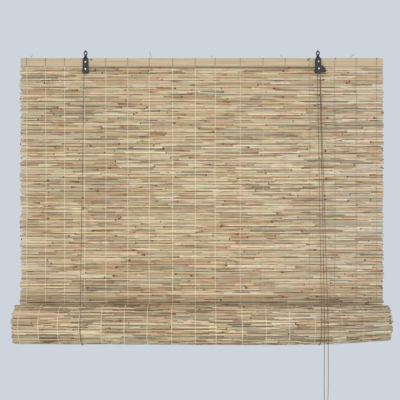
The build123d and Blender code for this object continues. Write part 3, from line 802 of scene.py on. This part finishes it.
def warp_threads():
    """Each warp is two threads, before and behind the stems, which close in between two rows."""
    chance = random.Random(5)
    vertices, faces, tones = [], [], []
    rows = HANGING_STEMS // 2
    # share of the row, distance from the mat's middle, and share of the thread's lean
    lay = ((0.0, 0.0012, 0.0), (0.22, 0.0031, 0.6), (0.78, 0.0033, 1.0))
    for x in WARPS:
        # painted shade: the warps grow greyer towards the right
        tone = shade_towards_right(x)
        radius = MAT_THREAD_RADIUS - 0.0002 * share_along(x, 0.1, 0.3)
        for side in (-1, 1):
            lean = 0.0006 * side
            out = Vector((0, side, 0))
            face = RAIL_FRONT - 0.0004 if side < 0 else RAIL_REAR + 0.0004
            places = [(Vector((x, MAT_MIDDLE, RAIL_TOP + 0.0005)), Vector((0, 0, 1)), DUSTY,
                       RAIL_THREAD_RADIUS),
                      (Vector((x + lean, face, RAIL_TOP - 0.0006)), out, DUSTY,
                       RAIL_THREAD_RADIUS),
                      (Vector((x + lean, face, RAIL_BOTTOM + 0.002)), out, DUSTY,
                       RAIL_THREAD_RADIUS)]
            drift = 0.0
            for row in range(rows + 1):
                top = RAIL_BOTTOM - row * 2 * STEM_PITCH
                drift += chance.uniform(-THREAD_DRIFT, THREAD_DRIFT)
                drift *= 0.9
                for share, depth, shift in lay:
                    place = Vector((x + drift + lean * shift, MAT_MIDDLE + side * depth,
                                    top - share * 2 * STEM_PITCH))
                    if place.z > ROLL_Z - 0.001:
                        places.append((place, out, tone, radius))
            thread(vertices, faces, tones, places)
    piece = new_piece("hanging_warp_lay", vertices, faces, "frame", COTTON, ["hanging_warps"],
                      tones)
    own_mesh(piece)

    vertices, faces, tones = [], [], []
    for x in WARPS:
        drift = 0.0
        # painted shade on the rolled warps too, less of it than on the hanging ones
        tone = shade_towards_right(x - 0.1, 0.45)
        axis_z = ROLL_Z + roll_bend(x).y
        for level in (THREAD_LAY, -THREAD_LAY):
            places = []
            turn = FIRST_STEM_TURN
            while turn < WARPED_TURNS:
                step = STEM_PITCH * 2 * STEM_PACKING / (2 * math.pi * roll_radius(turn))
                for share, height in ((0.0, 0.35), (0.25, 1.0), (0.75, 1.05)):
                    here = turn - step * 0.25 + step * share
                    angle = -2 * math.pi * here
                    out = Vector((0, math.cos(angle), math.sin(angle)))
                    reach = roll_radius(max(here, 0.0)) + level * height
                    reach += roll_taper(x, reach)
                    places.append((Vector((x + drift, ROLL_Y, axis_z)) + out * reach, out, tone,
                                   ROLL_THREAD_RADIUS))
                drift = drift * 0.9 + chance.uniform(-THREAD_DRIFT, THREAD_DRIFT)
                turn += step
            thread(vertices, faces, tones, places)
    piece = new_piece("rolled_warp_lay", vertices, faces, "roll", COTTON, ["roll_warps"], tones)


def loose_thread(name, route, body, tone):
    """A loose end of warp thread along its route."""
    vertices, faces, _ = strand_mesh(spline_points(name, route), LOOSE_THREAD_RADIUS,
                                     LOOSE_THREAD_STEP)
    piece = new_piece(name, vertices, faces, body, COTTON, tones=[tone] * len(vertices))


def thread_tails():
    """Loose ends of warp thread above the headrail."""
    # place along the width, height, and how far the end leans to the right
    tails = ((-0.565, 0.011, 0.006), (-0.168, 0.02, -0.005), (0.031, 0.009, 0.006),
             (0.266, 0.011, -0.004), (0.491, 0.012, 0.016))
    for k, (x, reach, lean) in enumerate(tails):
        foot = Vector((x, 0.003, RAIL_TOP + 0.0004))
        route = [foot, foot + Vector((lean * 0.1, -0.001, reach * 0.6)),
                 foot + Vector((lean, -0.002, reach))]
        loose_thread(f"thread_tail_{k + 1}", route, "frame", TAIL_TONE)


def roll_curls():
    """Loose thread ends curl up from the roll's right third, near its top and its underside."""
    # places of a curl's route along the width, down the roll and outwards, in sizes of the curl
    curl = ((-1.3, -1.0, 0), (0.1, -1.5, 0.3), (1.1, -0.4, 0.5), (0.9, 0.9, 0.4),
            (-0.5, 1.0, 0.3), (-0.7, -0.1, 0.5), (0.4, -0.3, 0.8))
    for k, (x, degrees, size) in enumerate(((0.496, 112, 0.0042), (0.435, 225, 0.0048))):
        angle = math.radians(degrees)
        out = Vector((0, math.cos(angle), math.sin(angle)))
        down = Vector((0, math.sin(angle), -math.cos(angle)))
        reach = STEM_CIRCLE + 0.0032 + roll_taper(x, STEM_CIRCLE)
        foot = Vector((x, ROLL_Y, ROLL_Z + roll_bend(x).y)) + out * reach
        route = [foot + Vector((a * size, 0, 0)) + down * (b * size) + out * (c * size)
                 for a, b, c in curl]
        loose_thread(f"roll_thread_curl_{k + 1}", route, "roll", CURL_TONE)


def warp_knots():
    """Each warp is tied off in a small knot on the headrail's top edge, browner at the right."""
    chance = random.Random(31)
    vertices, faces, tones = [], [], []
    rings, sides = 5, 8
    for x in WARPS:
        tone = BROWN_KNOT_TONE if x > 0.2 else KNOT_TONE
        size = chance.uniform(0.0016, 0.0021)
        centre = Vector((x + chance.uniform(-0.001, 0.001), RAIL_FRONT + 0.0006,
                         RAIL_TOP - 0.0006))
        first = len(vertices)
        for i in range(rings):
            height = math.pi * (i + 1) / (rings + 1)
            for k in range(sides):
                angle = 2 * math.pi * k / sides
                swell = size * (1 + 0.14 * math.sin(3 * angle + i))
                vertices.append(centre + Vector((math.cos(height) * size * 1.3,
                                                 math.sin(height) * math.cos(angle) * swell,
                                                 math.sin(height) * math.sin(angle) * swell)))
        end = Vector((size * 1.3, 0, 0))
        vertices += [centre + end, centre - end]
        tones += [tone] * (rings * sides + 2)
        right_end = first + rings * sides
        low = first + (rings - 1) * sides
        for k in range(sides):
            j = (k + 1) % sides
            for i in range(rings - 1):
                a, b = first + i * sides, first + (i + 1) * sides
                faces.append((a + k, a + j, b + j, b + k))
            faces.append((right_end, first + j, first + k))
            faces.append((right_end + 1, low + k, low + j))
    piece = new_piece("warp_knots", vertices, faces, "frame", COTTON, tones=tones)


hanging_mat()
rolled_mat()
warp_threads()
thread_tails()
roll_curls()
warp_knots()


# A plain painted floor, matt and pale
floor_material, _, floor_shader = start_material("pale_floor")
floor_shader.inputs["Base Color"].default_value = hex_colour("#d5dae0")
floor_shader.inputs["Roughness"].default_value = 0.9
floor_corners = [(x, y, FLOOR_Z) for x, y in ((-5, -6), (5, -6), (5, 5.5), (-5, 5.5))]
floor_mesh = bpy.data.meshes.new("floor")
floor_mesh.from_pydata(floor_corners, [], [(0, 1, 2, 3)])
floor_mesh.materials.append(floor_material)
floor = bpy.data.objects.new("floor", floor_mesh)
bpy.context.collection.objects.link(floor)


def soft_light(name, place, aim, size, watts, spread=180):
    """A square lamp at a place, turned to an aim. spread is its cone in degrees."""
    lamp = bpy.data.lights.new(name, "AREA")
    lamp.size = size
    lamp.spread = math.radians(spread)
    lamp.energy = watts
    holder = bpy.data.objects.new(name, lamp)
    holder.location = place
    holder.rotation_euler = (Vector(aim) - Vector(place)).to_track_quat("-Z", "Y").to_euler()
    bpy.context.collection.objects.link(holder)


soft_light("window_light", (-0.3, -2.7, 0.8), (0, 0, -0.45), 2.2, 31)
soft_light("fill_light", (2.2, -2.3, 0.1), (0, 0, -0.5), 2.0, 18)
soft_light("low_light", (-0.2, -2.9, -1.5), (0, 0, -0.75), 1.2, 6.5, spread=75)
soft_light("rear_light", (0.8, 2.6, 0.6), (0, 0, -0.4), 2.0, 45)

# The room's own light, and the pale background that the camera and glossy surfaces see
world = bpy.data.worlds.new("room")
bpy.context.scene.world = world
world.use_nodes = True
tree = world.node_tree
lit = tree.nodes["Background"]
lit.inputs["Color"].default_value = hex_colour("#eef1f6")
lit.inputs["Strength"].default_value = 0.54
seen = add_node(tree, "ShaderNodeBackground", {"Color": hex_colour("#ced4dd"), "Strength": 1.0})
path = add_node(tree, "ShaderNodeLightPath")
camera_or_glossy = add_node(tree, "ShaderNodeMath", {"operation": "MAXIMUM"})
tree.links.new(path.outputs["Is Camera Ray"], camera_or_glossy.inputs[0])
tree.links.new(path.outputs["Is Glossy Ray"], camera_or_glossy.inputs[1])
either = add_node(tree, "ShaderNodeMixShader", Fac=camera_or_glossy.outputs[0])
tree.links.new(lit.outputs[0], either.inputs[1])
tree.links.new(seen.outputs[0], either.inputs[2])
tree.links.new(either.outputs[0], tree.nodes["World Output"].inputs["Surface"])
bpy.context.scene.view_settings.view_transform = "Standard"
